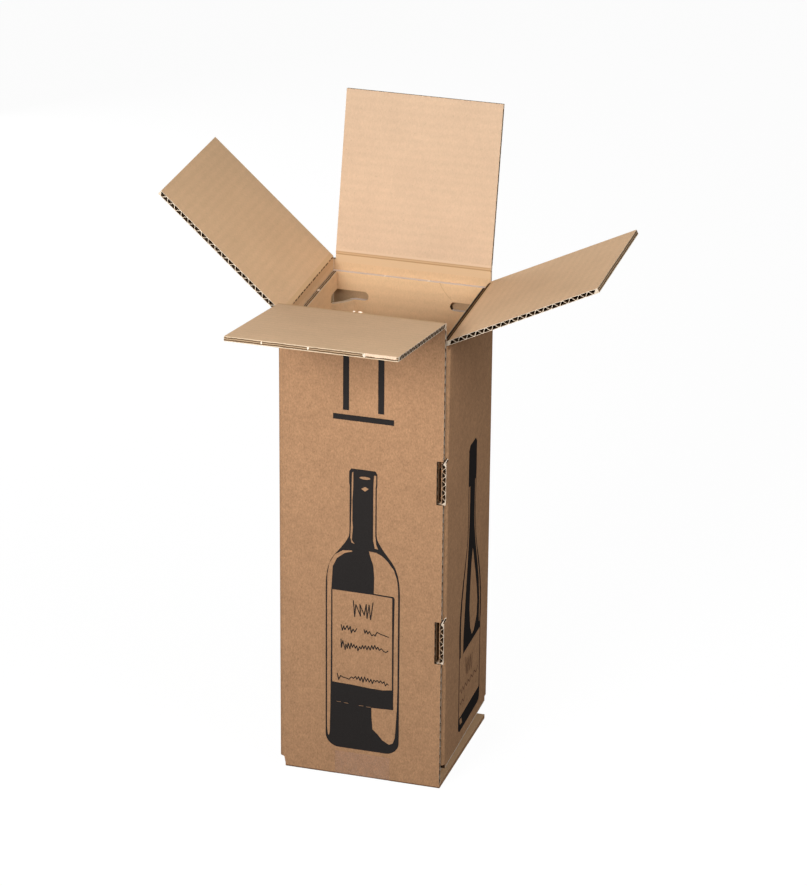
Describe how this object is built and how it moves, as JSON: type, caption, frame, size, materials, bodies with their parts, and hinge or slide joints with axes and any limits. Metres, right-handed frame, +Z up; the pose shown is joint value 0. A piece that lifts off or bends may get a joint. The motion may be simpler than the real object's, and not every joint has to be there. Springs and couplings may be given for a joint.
{
  "type": "bottle shipping box",
  "caption": "Tall narrow corrugated shipping box for a bottle, with folding top flaps and an inner corrugated liner.",
  "frame": {"origin": "centre of the box's footprint on the floor", "axes": "+Z up, front face with the printed bottle towards -Y, +X to the right seen from the front"},
  "size_m": [0.3716, 0.3126, 0.5587],
  "materials": {
    "kraft_board": "matte",
    "liner_board": "matte",
    "clear_tape": "gloss",
    "black_ink": "matte"
  },
  "bodies": {
    "box": {"carton": "kraft_board", "inner_liner": "liner_board", "bottom_tape": "clear_tape", "front_print": "black_ink", "side_print": "black_ink"},
    "front_flap": {"flap_front": "kraft_board"},
    "back_flap": {"flap_back": "kraft_board"},
    "left_flap": {"flap_left": "kraft_board"},
    "right_flap": {"flap_right": "kraft_board"}
  },
  "joints": [
    {"name": "front_flap_fold", "type": "hinge", "parent": "box", "child": "front_flap", "pos_m": [0, -0.071, 0.4265], "axis": [1, 0, 0], "range_deg": [-169.55, 10.45]},
    {"name": "back_flap_fold", "type": "hinge", "parent": "box", "child": "back_flap", "pos_m": [0, 0.071, 0.4222], "axis": [1, 0, 0], "range_deg": [-77.3, 102.7]},
    {"name": "left_flap_fold", "type": "hinge", "parent": "box", "child": "left_flap", "pos_m": [-0.0705, 0, 0.4179], "axis": [0, 1, 0], "range_deg": [-42.4, 137.6]},
    {"name": "right_flap_fold", "type": "hinge", "parent": "box", "child": "right_flap", "pos_m": [0.0705, 0, 0.4098], "axis": [0, 1, 0], "range_deg": [-153.75, 26.25]}
  ]
}
